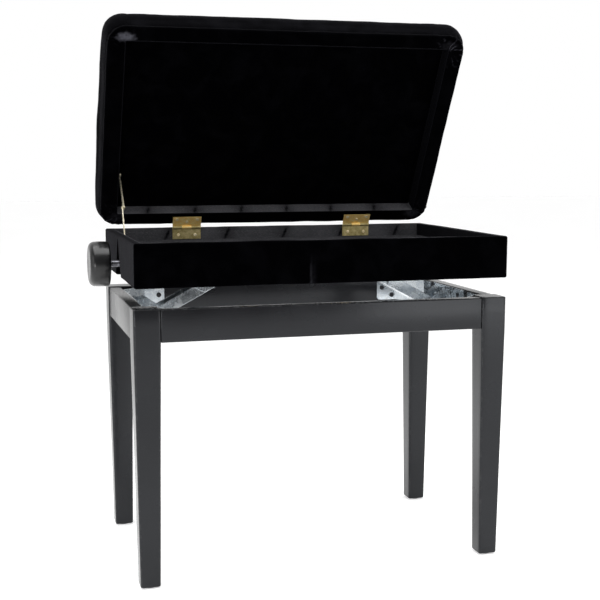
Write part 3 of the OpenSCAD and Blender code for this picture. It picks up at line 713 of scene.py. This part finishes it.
def box_cover():
    """Velour pulled over the outside, the rim and the lower edge of the box walls."""
    low, high = box_in("box_cover", BED)
    depth = high.x - box_in("wall_right", BED)[0].x
    bottom, top = low.z, high.z
    profile = [(depth, bottom + COVER_T), (depth, bottom + 0.4 * MM), (depth - 0.5 * MM, bottom),
               (depth * 0.6, bottom)]
    profile += [(side, bottom + end) for side, end in rounding(BOX_EDGE, 4)]
    levels, rise = 12, top - bottom - 2 * BOX_EDGE
    profile += [(0, bottom + BOX_EDGE + rise * k / levels) for k in range(1, levels)]
    profile += [(end, top - side) for side, end in rounding(BOX_EDGE, 5)]
    profile += [(depth * 0.55, top), (depth * 0.8, top), (depth - 0.5 * MM, top - 0.2 * MM),
                (depth, top - 0.9 * MM), (depth, top - COVER_T)]
    skin = len(profile)
    profile += [(depth - COVER_T, top - COVER_T), (COVER_T, top - COVER_T),
                (COVER_T, bottom + COVER_T), (depth - COVER_T, bottom + COVER_T)]
    rings = [inset_ring(low, high, d, z, max(BOX_CORNER - d, 0.5 * MM), COVER_COUNTS)
             for d, z in profile]
    obj = piece("box_cover_visual", *loft(rings, loop=True), VELOUR, BED, 60)
    co, n = coordinates(obj.data), normals(obj.data)
    local = co - np.array(BENCH)
    outside = np.arange(len(co)) < skin * len(rings[0])
    soft = ripple(local, 55 * MM, 0.5 * MM, 1) + ripple(local, 14 * MM, 0.14 * MM, 2)
    push = np.where(outside, np.clip(soft, -0.35 * MM, 0.7 * MM), 0)
    front = outside & (local[:, 1] < low.y + 1 * MM)
    seam_x, seam_z = local[:, 0] - SEAM_X, (local[:, 2] - bottom) / (top - bottom)
    # The cloth laps over the seam on one side, creases beside it and puckers round it
    for i in np.nonzero(front)[0]:
        x, z = seam_x[i], seam_z[i]
        lap = 0.5 * MM * math.exp(-max(x, 0) / (22 * MM)) * (1 if x > 0 else bell(x, 2.5 * MM))
        crease = -1.1 * MM * bell(x + 1.5 * MM, 1.8 * MM) * (1 - 0.5 * z)
        pucker = 0.35 * MM * bell(x, 14 * MM) * math.sin(z * 16 + x / (6 * MM))
        push[i] += lap + crease + pucker
    set_coordinates(obj.data, co + n * push[:, None])
    fades = np.clip(1.1 - 1.6 * seam_z, 0, 1)
    worn = fades * (0.25 * bell(seam_x, 1.2 * MM) + 0.08 * bell(seam_x - 4 * MM, 3 * MM))
    mark(obj, "painted_light_and_crush", worn * front)
    cut_slot(obj, low)
    slot_facing(low, box_in("wall_left", BED)[1])
    return place(obj, "seat_box", "velour", "box_cover")


def slot_outline(low, drop):
    """Corners (Y, Z) of the notch in the left wall: two at its foot, let down by drop along its
    slanting sides, then two at its peak. Low is the box's lowest corner."""
    points = [p for p in (BED.inverted() @ v.co for v in frame["nodes"]["wall_left"].data.vertices)
              if abs(p.x - low.x) < 3 * MM]
    wall_low, wall_high = extent(points)
    inner = [p for p in points if wall_low.y + MM < p.y < wall_high.y - MM]
    foot = sorted((p.y, p.z) for p in inner if p.z < wall_low.z + MM)
    peak = sorted((p.y, p.z) for p in inner if p.z > wall_low.z + MM)
    foot_z, peak_z = foot[0][1], peak[0][1]
    ends = []
    for (foot_y, _), (peak_y, _) in ((foot[0], peak[0]), (foot[-1], peak[-1])):
        slope = (peak_y - foot_y) / (peak_z - foot_z)
        ends.append((foot_y - slope * drop, foot_z - drop))
    return [*ends, (peak[-1][0], peak_z), (peak[0][0], peak_z)]


def slot_facing(low, high):
    """Velour turned in over the cut faces of the notch. High is the left wall's highest corner."""
    foot_0, foot_1, peak_1, peak_0 = slot_outline(low, 1.1 * MM)
    thick = 0.9 * MM
    band = [foot_0, peak_0, peak_1, foot_1, (foot_1[0] - thick, foot_1[1]),
            (peak_1[0] - thick, peak_1[1] - thick), (peak_0[0] + thick, peak_0[1] - thick),
            (foot_0[0] + thick, foot_0[1])]
    rings = [[(x, y, z) for y, z in band] for x in (low.x + 0.6 * MM, low.x + 3 * MM, high.x)]
    obj = piece("slot_facing", *loft(rings), VELOUR, BED, 60)
    mark(obj, "painted_light_and_crush", np.zeros(len(obj.data.vertices)))
    place(obj, "seat_box", "velour", "box_cover")


def cut_slot(obj, low):
    """Cuts the opening for the screw's shaft, as wide as the one in the left wall."""
    outline = slot_outline(low, 3 * MM)
    rings = [[(low.x + dx, y, z) for y, z in outline] for dx in (-8 * MM, 14 * MM)]
    tool = piece("slot_tool", *loft(rings), VELOUR, BED)
    cut = obj.modifiers.new("slot", "BOOLEAN")
    cut.object = tool
    cut.operation = "DIFFERENCE"
    cut.solver = "EXACT"
    freeze(obj)
    bpy.data.objects.remove(tool)
    smooth(obj.data, 60)


def dents(along, across, spacing, start, slant):
    """How deep a row of slanting creases is, 1 or a little more at a staple, which pulls the cloth in."""
    nearest = (along - start) / spacing
    off = (nearest - round(nearest)) * spacing
    crease = bell(off - slant * across, 2.2 * MM) * bell(across, 9 * MM)
    return crease + 0.4 * bell(off, 14 * MM)


def box_lining():
    """Lining on the inside of the walls, and a loose panel on the tray's floor."""
    low, high = box_in("box_lining", BED)
    thick, cove = 1.0 * MM, 3 * MM
    floor = low.z + thick
    top = high.z - 0.4 * MM
    levels = 14
    profile = [(0, top), (0.3 * MM, top + 0.3 * MM), (thick, top)]
    profile += [(thick, top + (floor + cove - top) * k / levels) for k in range(1, levels + 1)]
    profile += [(thick + end, floor + side) for side, end in rounding(cove, 3)]
    profile += [(thick + 4 * MM, low.z), (0, low.z)]
    rings = [inset_ring(low, high, d, z, 0.5 * MM + 3 * MM * (d > 0), (180, 110, 5))
             for d, z in profile]
    walls = piece("box_lining_walls", *loft(rings, loop=True), LINING, BED, 60)
    co = coordinates(walls.data)
    local = co - np.array(BENCH)
    hollow = ripple(local, 60 * MM, 0.5 * MM, 4) + ripple(local, 16 * MM, 0.2 * MM, 5)
    # The walls' face is the rings from the lining's top down to where it meets the floor
    inner = np.zeros(len(co), bool)
    n_ring = len(rings[0])
    inner[2 * n_ring:(3 + levels) * n_ring] = True
    # Painted shade: dark in the creases at the back wall's staples, and all over both end walls
    painted_shade = np.zeros(len(co))
    centre_z = (floor + high.z) / 2
    for i in np.nonzero(inner & (local[:, 1] > high.y - 2.5 * MM))[0]:
        dent = dents(local[i, 0], local[i, 2] - centre_z, STAPLES_BOX, -76 * MM, 0.45)
        co[i, 1] += dent * 0.8 * MM
        painted_shade[i] = dent
    painted_shade += 0.9 * (inner & (np.abs(local[:, 0]) > high.x - 2 * MM))
    # Each point of the inner face moves in from the wall that it is nearest to
    rows = np.arange(len(co))
    axis = (np.abs(local[:, :2]) / np.array([high.x, high.y])).argmax(1)
    sign = np.sign(local[rows, axis])
    co[rows, axis] -= np.where(inner, sign * (hollow + 0.3 * MM), 0)
    set_coordinates(walls.data, co)
    mark(walls, "painted_light_and_crush", np.clip(painted_shade, 0, 1))
    place(walls, "seat_box", "lining", "box_lining")

    inset = 1.6 * MM
    panel = cloth_panel("box_floor_panel", Vector((low.x + inset, low.y + inset, floor - 0.9 * MM)),
                        Vector((high.x - inset, high.y - inset, floor)), 110, 66, 1, LINING, BED, 6)
    place(panel, "seat_box", "lining", "box_lining")


def cloth_panel(name, low, high, across, deep, side, material, matrix, seed):
    """Thin panel of cloth. Its visible face is the upper one when side is 1 and the lower when -1,
    and lies in slight waves, with its border turned under."""
    row = across + 1
    grid = [(i / across, j / deep) for j in range(deep + 1) for i in range(row)]
    starts = [j * row + i for j in range(deep) for i in range(across)]
    faces = [(a, a + 1, a + row + 1, a + row) for a in starts]
    size = high - low
    base = low.z if side > 0 else high.z
    seen, hidden = [], []
    for u, v in grid:
        x, y = low.x + u * size.x, low.y + v * size.y
        border = min(u * size.x, (1 - u) * size.x, v * size.y, (1 - v) * size.y)
        wave = noise.noise(Vector((x, y, seed)) / (70 * MM)) * 0.8 * MM
        wave += noise.noise(Vector((x, y, seed)) / (18 * MM)) * 0.25 * MM
        roll = min(1.0, border / (3 * MM))
        lift = size.z * (0.4 + 0.6 * math.sqrt(1 - (1 - roll) ** 2)) + max(wave, -0.3 * MM) * roll
        seen.append((x, y, base + side * lift))
        hidden.append((x, y, base))
    n = len(grid)
    under = [tuple(n + k for k in reversed(f)) for f in faces]
    border = [*range(row), *range(2 * row - 1, n, row), *range(n - 2, n - row - 1, -1)]
    border += range(n - 2 * row, 0, -row)
    skirt = [(a, n + a, n + b, b) for a, b in zip(border, border[1:] + border[:1])]
    obj = piece(name, seen + hidden, faces + under + skirt, material, matrix, 60)
    mark(obj, "painted_light_and_crush", np.zeros(2 * n))
    return obj


box_cover()
box_lining()


# ---------- Lid ----------

LID_CORNER = 28 * MM
# Points along X, along Y and round a corner
LID_COUNTS = 220, 138, 26
CUSHION_COUNTS = 40, 24, 6
CUSHION_VOXEL = 5 * MM
CUSHION_EDGE = 5 * MM
# How far the cushion's sides are drawn bowed, and how far the cloth may move from there
CUSHION_BOW, CUSHION_CAP = 6 * MM, 6 * MM
CUSHION_PRESSURE = 1.3
CLOTH_FRAMES = 20
HEM_EDGE = 4.5 * MM
HEM_HEIGHT = 14 * MM
HEM_T = 1.3 * MM
PLEAT_DEPTH = 0.9 * MM
# How far from a corner's centre the pleats reach, and over what length they fade in and out
PLEAT_REACH, PLEAT_FADE = 60 * MM, 9 * MM
# How strong the painted sheen of flattened nap is at the front left, back left, front right and back right
# corners
SHEEN_PATCHES = 1.0, 0.15, 0.1, 0.25
SHEEN_STREAKS = 0.1, 0.3, 1.0, 0.4


def inflate(obj, held, pressure, cap):
    """Swells a closed mesh as cloth. Held is each vertex's hold, and cap the most that it may move."""
    scene = bpy.context.scene
    rest = coordinates(obj.data)
    group = obj.vertex_groups.new(name="held")
    for i in np.nonzero(held > 0.01)[0]:
        group.add([int(i)], float(held[i]), "REPLACE")
    cloth = obj.modifiers.new("cloth", "CLOTH")
    settings = cloth.settings
    settings.vertex_group_mass = "held"
    settings.use_pressure = True
    settings.uniform_pressure_force = pressure
    settings.effector_weights.gravity = 0
    settings.quality = 5
    settings.bending_stiffness = 0.6
    cloth.point_cache.frame_start, cloth.point_cache.frame_end = 1, CLOTH_FRAMES
    for f in range(1, CLOTH_FRAMES + 1):
        scene.frame_set(f)
    graph = bpy.context.evaluated_depsgraph_get()
    step = coordinates(obj.evaluated_get(graph).data) - rest
    length = np.linalg.norm(step, axis=1)
    tiny = 1e-7
    keep = np.where(length > tiny, cap * np.tanh(length / cap) / np.maximum(length, tiny), 1)
    obj.modifiers.clear()
    obj.vertex_groups.clear()
    set_coordinates(obj.data, rest + step * keep[:, None])
    scene.frame_set(1)


def cushion_rings(low, high, pocket, pocket_z):
    """The unfilled cushion, from the middle of its top round the sides to the hollow round the rails."""
    rings = [inset_ring(low, high, inset, high.z, 20 * MM, CUSHION_COUNTS) for inset in (80 * MM, 40 * MM)]
    rings += [inset_ring(low, high, side, high.z - end, LID_CORNER - side, CUSHION_COUNTS)
              for side, end in rounding(CUSHION_EDGE, 6)]
    steps, side = 5, high.z - CUSHION_EDGE - low.z
    for k in range(1, steps):
        bow = CUSHION_BOW * math.sin(math.pi * k / steps)
        rings.append(inset_ring(low, high, -bow, high.z - CUSHION_EDGE - side * k / steps, LID_CORNER,
                                CUSHION_COUNTS))
    rings += [inset_ring(low, high, inset, low.z, LID_CORNER - inset, CUSHION_COUNTS)
              for inset in (0, 4 * MM)]
    rings += [inset_ring(*pocket, 0, z, 3 * MM, CUSHION_COUNTS) for z in (low.z, pocket_z)]
    return rings


def within(co, box, margin):
    """Which points lie inside a box's four sides, moved out by margin."""
    low, high = (np.array(corner[:2]) for corner in box)
    return ((co[:, :2] > low - margin) & (co[:, :2] < high + margin)).all(1)


def lid_cushion():
    """Velour over foam: the padded top and sides of the lid."""
    cover_low, cover_high = box_in("lid_cover", LID)
    pocket = box_in("lid_lining", LID)
    for i in (0, 1):
        pocket[0][i] -= 7 * MM
        pocket[1][i] += 7 * MM
    low = cover_low + Vector((1, 1, 3)) * MM
    high = cover_high + Vector((-1, -1, 6)) * MM
    rings = cushion_rings(low, high, pocket, pocket[1].z + 0.3 * MM)
    # The cushion takes the lighter, lit copy of the velour
    obj = piece("lid_cushion", *loft(rings), LIT_LID_VELOUR, None, 180)
    drawn = coordinates(obj.data)
    remesh = obj.modifiers.new("remesh", "REMESH")
    remesh.mode = "VOXEL"
    remesh.voxel_size = CUSHION_VOXEL
    freeze(obj)
    # The remesh rounds the form smaller, so it is stretched back to the size that was drawn
    co = coordinates(obj.data)
    share = (co - co.min(0)) / (co.max(0) - co.min(0))
    co = drawn.min(0) + share * (drawn.max(0) - drawn.min(0))
    set_coordinates(obj.data, co)
    near = 4 * MM
    grip = np.clip(1 - (co[:, 2] - cover_low.z - HEM_HEIGHT - 2 * MM) / (9 * MM), 0, 1)
    inside = within(co, pocket, near) & (co[:, 2] < pocket[1].z + near)
    inflate(obj, np.where(inside, 1.0, grip), CUSHION_PRESSURE, CUSHION_CAP)
    obj.modifiers.new("smooth", "SUBSURF").levels = 1
    freeze(obj)
    lid_folds(obj, cover_low, cover_high, pocket)
    obj.data.transform(LID)
    smooth(obj.data, 180)
    place(obj, "lid", "velour", "lid_cover", "lid_foam")


def lid_hem():
    """The velour round the lid's lower edge and under the rails, as far as the recess."""
    low, high = box_in("lid_cover", LID)
    pocket = box_in("lid_lining", LID)

    def outer(inset, z):
        return inset_ring(low, high, inset, z, LID_CORNER - inset, LID_COUNTS)

    def inner(out, z):
        return inset_ring(*pocket, -out, z, 3 * MM + out, LID_COUNTS)

    lip, edge = inner(0.6 * MM, low.z), outer(HEM_EDGE, low.z)
    rings = [inner(0, low.z + HEM_T), inner(0, low.z + 0.5 * MM), lip]
    border = 14
    rings += [[a.lerp(b, k / border) for a, b in zip(lip, edge)] for k in range(1, border)]
    rings += [outer(side, low.z + end) for side, end in rounding(HEM_EDGE, 6)]
    rise = 5
    rings += [outer(0.8 * MM * k / rise, low.z + HEM_EDGE + (HEM_HEIGHT - HEM_EDGE) * k / rise)
              for k in range(1, rise + 1)]
    rings += [outer(HEM_T, low.z + HEM_HEIGHT), outer(HEM_T, low.z + HEM_EDGE),
              outer(HEM_EDGE, low.z + HEM_T)]
    obj = piece("lid_hem", *loft(rings, loop=True), VELOUR, None, 60)
    lid_folds(obj, low, high, pocket)
    obj.data.transform(LID)
    smooth(obj.data, 60)
    place(obj, "lid", "velour", "lid_cover")


def lid_folds(obj, low, high, pocket):
    """Folds in the velour: soft waves all over, pleats round the corners, and a painted sheen of flattened
    nap there.
    """
    co, n = coordinates(obj.data), normals(obj.data)
    push = ripple(co, 45 * MM, 0.7 * MM, 8) + ripple(co, 15 * MM, 0.25 * MM, 9)
    painted_light_and_crush = np.zeros(len(co))
    under = np.clip(1 - (co[:, 2] - low.z) / (26 * MM), 0, 1)
    corner_at = [(x, y) for x in (low.x + LID_CORNER, high.x - LID_CORNER)
                 for y in (low.y + LID_CORNER, high.y - LID_CORNER)]
    for index, (cx, cy) in enumerate(corner_at):
        out_x, out_y = (-1 if cx < 0 else 1), (-1 if index % 2 == 0 else 1)
        dx, dy = (co[:, 0] - cx) * out_x, (co[:, 1] - cy) * out_y
        reach, angle = np.hypot(dx, dy), np.arctan2(dy, dx)
        near = np.clip(reach / PLEAT_FADE, 0, 1) * (reach < PLEAT_REACH)
        near *= np.exp(-np.clip(-np.minimum(dx, dy), 0, None) / PLEAT_FADE)
        wander = angle + 0.12 * np.sin(reach / (4 * MM) + index)
        patchy = np.clip(0.5 + ripple(co, 9 * MM, 1.2, 20 + index), 0, 1)
        pleat = np.cos(wander * (13 + index)) ** 3 * patchy
        push += PLEAT_DEPTH * pleat * near * under
        # Painted sheen: a lighter patch beside the corner, and lighter streaks along the pleats' ridges
        sheen_patch = np.exp(-((dx - 1 * MM) / (15 * MM)) ** 2 - ((dy - 12 * MM) / (9 * MM)) ** 2)
        sheen_patch = np.clip(2.2 * sheen_patch - 0.7 + ripple(co, 5 * MM, 0.5, 30), 0, 1) * SHEEN_PATCHES[index]
        sheen_streaks = np.clip(2 * pleat - 0.8, 0, 1) * near * (reach > 5 * MM) * SHEEN_STREAKS[index]
        painted_light_and_crush += (sheen_patch + sheen_streaks) * (co[:, 2] < low.z + 3 * MM)
    in_pocket = within(co, pocket, 1 * MM) & (co[:, 2] < pocket[1].z + 3 * MM)
    push = np.where(co[:, 2] < low.z + 2 * MM, np.clip(push, -0.9 * MM, 1.2 * MM), push)
    push = np.where(in_pocket, 0, push)
    set_coordinates(obj.data, co + n * push[:, None])
    mark(obj, "painted_light_and_crush", np.clip(painted_light_and_crush, 0, 1))


def lid_lining():
    """Lining of the recess under the lid: four walls in one strip, and the panel between them."""
    low, high = box_in("lid_lining", LID)
    rim = box_in("lid_cover", LID)[0].z
    thick = 1.0 * MM
    levels = 8
    panel_z = high.z - COVER_T
    profile = [(0, panel_z + 1 * MM), (0, rim + 0.6 * MM), (0.1 * MM, rim - 0.4 * MM),
               (0.8 * MM, rim - 0.4 * MM)]
    profile += [(thick, rim + 0.2 * MM + (panel_z - rim) * k / levels) for k in range(levels + 1)]
    profile.append((thick + 1.5 * MM, panel_z + 1 * MM))
    rings = [inset_ring(low, high, d, z, 2.5 * MM, (170, 100, 4)) for d, z in profile]
    walls = piece("lid_lining_walls", *loft(rings, loop=True), LINING, None, 60)
    co = coordinates(walls.data)
    n_ring = len(rings[0])
    # Painted shade: the recess walls are painted dark all over, except the hinge-side wall, which is dark
    # only in the creases at its staples
    painted_shade = np.ones(len(co))
    centre_z = (rim + panel_z) / 2
    bulge = ripple(co, 50 * MM, 1.0 * MM, 12) + ripple(co, 14 * MM, 0.25 * MM, 13)
    # The walls' face is the rings from the rim to the panel
    for i in range(4 * n_ring, (5 + levels) * n_ring):
        depth_in = (co[i, 2] - rim) / (panel_z - rim)
        swell = (0.6 * MM + bulge[i]) * math.sin(math.pi * min(1.0, max(0.0, depth_in * 0.8)))
        if co[i, 1] > high.y - 3 * MM:
            dent = dents(co[i, 0], co[i, 2] - centre_z, STAPLES_LID, -208 * MM, 0.3)
            painted_shade[i] = dent
            co[i, 1] -= swell - 0.9 * MM * dent
        elif co[i, 1] < low.y + 3 * MM:
            co[i, 1] += swell
        else:
            co[i, 0] -= math.copysign(swell, co[i, 0])
    set_coordinates(walls.data, co)
    walls.data.transform(LID)
    mark(walls, "painted_light_and_crush", np.clip(painted_shade, 0, 1))
    place(walls, "lid", "lining", "lid_lining")

    inset = 0.8 * MM
    panel = cloth_panel("lid_recess_panel", Vector((low.x + inset, low.y + inset, panel_z)),
                        Vector((high.x - inset, high.y - inset, high.z)), 110, 64, -1, VELOUR, LID, 15)
    place(panel, "lid", "velour", "lid_lining")


lid_cushion()
lid_hem()
lid_lining()


# ---------- Camera, light and floor ----------

CAMERA_FROM_BENCH = Vector((-0.4786, -1.7021, 0.6058))
CAMERA_TURN, CAMERA_DIP = math.radians(15.875), math.radians(7.199)
LENS = 68.36


def camera():
    """The photo's viewpoint, solved from the corners of the base."""
    data = bpy.data.cameras.new("camera")
    data.lens = LENS
    obj = add("camera", data)
    obj.location = BENCH + CAMERA_FROM_BENCH
    obj.rotation_euler = (math.pi / 2 - CAMERA_DIP, 0, -CAMERA_TURN)
    bpy.context.scene.camera = obj


def soft_box(name, at, size, power, aim=(0, 0, 0.35)):
    """Area light at a place measured from the middle of the bench, aimed at aim."""
    data = bpy.data.lights.new(name, "AREA")
    data.shape = "RECTANGLE"
    data.size, data.size_y = size
    data.energy = power
    obj = add(name, data)
    obj.location = BENCH + Vector(at)
    obj.rotation_euler = (Vector(at) - Vector(aim)).to_track_quat("Z", "Y").to_euler()


def backdrop():
    """White to the camera and behind the bench, and a dimmer room in front, which the gloss shows."""
    world = bpy.data.worlds.new("studio")
    bpy.context.scene.world = world
    world.use_nodes = True
    tree = world.node_tree
    background = tree.nodes["Background"]
    background.inputs["Color"].default_value = (1, 1, 1, 1)
    way = tree.nodes.new("ShaderNodeSeparateXYZ")
    tree.links.new(tree.nodes.new("ShaderNodeTexCoord").outputs["Generated"], way.inputs[0])
    behind = tree.nodes.new("ShaderNodeMapRange")
    tree.links.new(way.outputs["Y"], behind.inputs["Value"])
    for socket, value in (("From Min", -0.2), ("From Max", 0.5), ("To Min", 0.22), ("To Max", 0.95)):
        behind.inputs[socket].default_value = value
    white = tree.nodes.new("ShaderNodeMath")
    white.operation = "MAXIMUM"
    tree.links.new(behind.outputs[0], white.inputs[0])
    tree.links.new(tree.nodes.new("ShaderNodeLightPath").outputs["Is Camera Ray"], white.inputs[1])
    tree.links.new(white.outputs[0], background.inputs["Strength"])
    bpy.context.scene.view_settings.view_transform = "Standard"


def lights():
    """Soft light from above and the sides, and a broad one that lightens the floor."""
    soft_box("top_light", (0.0, -0.3, 2.2), (2.4, 1.8), 38)
    soft_box("left_light", (-2.2, -0.9, 1.0), (1.4, 1.6), 11)
    soft_box("low_fill", (-1.4, -2.2, 0.35), (0.8, 0.6), 12, (0, 0.1, 0.55))
    soft_box("front_right_light", (1.5, -2.4, 0.7), (1.0, 1.4), 15)
    sun = bpy.data.lights.new("floor_light", "SUN")
    sun.energy = 1.3
    sun.angle = math.radians(60)
    add("floor_light", sun)


def pale_floor():
    """Floor with a little light of its own round the bench, which fills the shadow under it."""
    f = Finish("pale_floor", Roughness=0.9, Specular_IOR_Level=0.0, Emission_Color=(1, 1, 1, 1))
    tone = f.colours(f.noise(0.4, 2), (0.3, (0.90, 0.90, 0.90)), (0.7, (0.93, 0.93, 0.93)))
    around = f.node("Mapping", Vector=f.place, Scale=(0.8, 0.8, 0.8))
    near = f.node("TexGradient", Vector=around.outputs[0])
    near.gradient_type = "SPHERICAL"
    glow = f.math("MULTIPLY_ADD", near.outputs["Fac"], 0.45, 0.14)
    material = f.set(Base_Color=tone, Emission_Strength=glow)
    half = 14
    outline = [(-half, -half, 0), (half, -half, 0), (half, half, 0), (-half, half, 0)]
    piece("floor", outline, [(0, 1, 2, 3)], material)


camera()
backdrop()
lights()
pale_floor()
